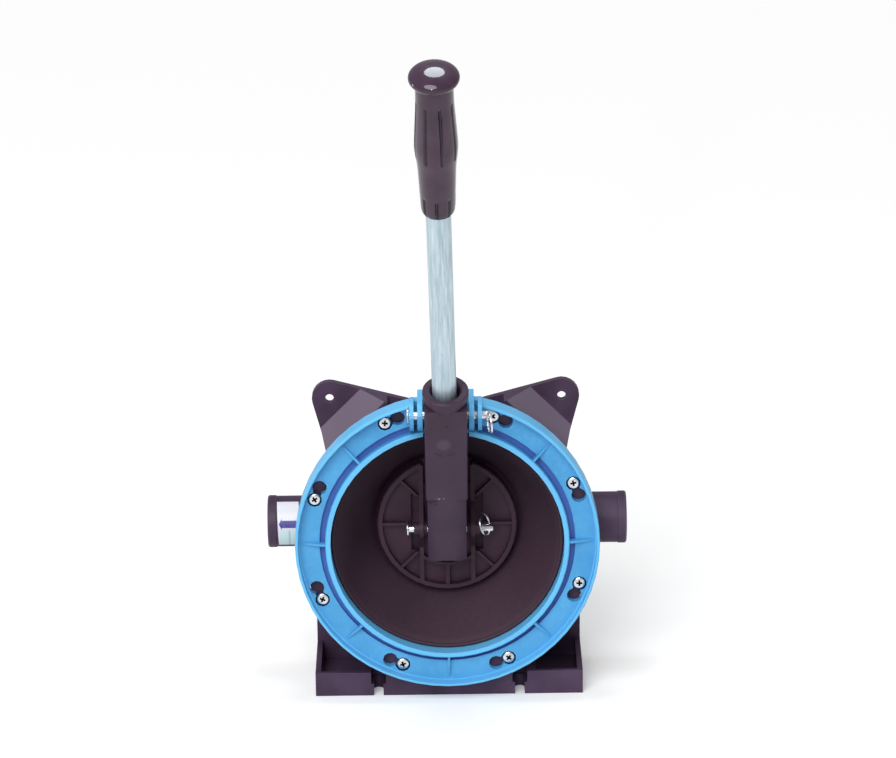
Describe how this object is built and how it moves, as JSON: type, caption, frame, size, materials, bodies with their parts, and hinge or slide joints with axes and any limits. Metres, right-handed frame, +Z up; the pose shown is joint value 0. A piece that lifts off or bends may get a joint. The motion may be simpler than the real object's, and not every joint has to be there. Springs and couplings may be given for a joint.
{
  "type": "manual bilge pump",
  "caption": "Hand diaphragm bilge pump: moulded bowl on a deck foot, blue keyhole clamp ring, rocking lever with a pull-out tube handle, side hose ports and inner flap valves",
  "frame": {"origin": "middle of the deck foot's underside", "axes": "+Z up, -Y towards the clamp ring and lever, X along the hose ports with the inlet at +X and the outlet at -X"},
  "size_m": [0.262, 0.2506, 0.5193],
  "materials": {
    "body_black": "satin moulded plastic",
    "ring_blue": "satin moulded plastic",
    "plate_black": "satin moulded plastic",
    "lever_black": "satin moulded plastic",
    "rubber_black": "matt rubber",
    "steel": "bright stainless steel",
    "galvanised": "drawn galvanised tube with lengthwise streaks",
    "grip_black": "glossy moulded plastic",
    "label_white": "printed plastic film"
  },
  "bodies": {
    "frame": {"pump_body": "body_black", "clamp_ring": "ring_blue", "ring_screw_1": "steel", "ring_screw_2": "steel", "ring_screw_3": "steel", "ring_screw_4": "steel", "ring_screw_5": "steel", "ring_screw_6": "steel", "ring_screw_7": "steel", "ring_screw_8": "steel", "diaphragm": "rubber_black", "pivot_pin": "steel", "pivot_split_ring": "steel", "inlet_valve_seat": "plate_black", "outlet_valve_seat": "plate_black", "flow_label": "label_white"},
    "lever": {"lever": "lever_black"},
    "plates": {"outer_plate": "plate_black", "inner_plate": "plate_black", "plate_screw_1": "steel", "plate_screw_2": "steel", "plate_screw_3": "steel", "plate_screw_4": "steel", "lower_pin": "steel", "lower_split_ring": "steel"},
    "handle": {"handle_tube": "galvanised", "hand_grip": "grip_black"},
    "inlet_flap": {"inlet_valve_flap": "rubber_black"},
    "outlet_flap": {"outlet_valve_flap": "rubber_black"}
  },
  "joints": [
    {"name": "lever_pivot", "type": "hinge", "parent": "frame", "child": "lever", "pos_m": [0, -0.062, 0.2263], "axis": [1, 0, 0], "range_deg": [-33.2, 3]},
    {"name": "plate_slide", "type": "slide", "parent": "frame", "child": "plates", "axis": [0, 1, 0], "range_m": [-0.0635, 0.006], "deforming": ["diaphragm"]},
    {"name": "handle_pull", "type": "slide", "parent": "lever", "child": "handle", "axis": [-0.0148, -0.3944, 0.9188], "range_m": [0, 0.054]},
    {"name": "inlet_flap_hinge", "type": "hinge", "parent": "frame", "child": "inlet_flap", "pos_m": [0.0855, 0.002, 0.1365], "axis": [0, 1, 0], "range_deg": [0, 35]},
    {"name": "outlet_flap_hinge", "type": "hinge", "parent": "frame", "child": "outlet_flap", "pos_m": [-0.092, 0.002, 0.1365], "axis": [0, 1, 0], "range_deg": [0, 35]}
  ],
  "couplings": [
    {"joint": "plate_slide", "follows": "lever_pivot", "m_per_rad": 0.1085}
  ]
}
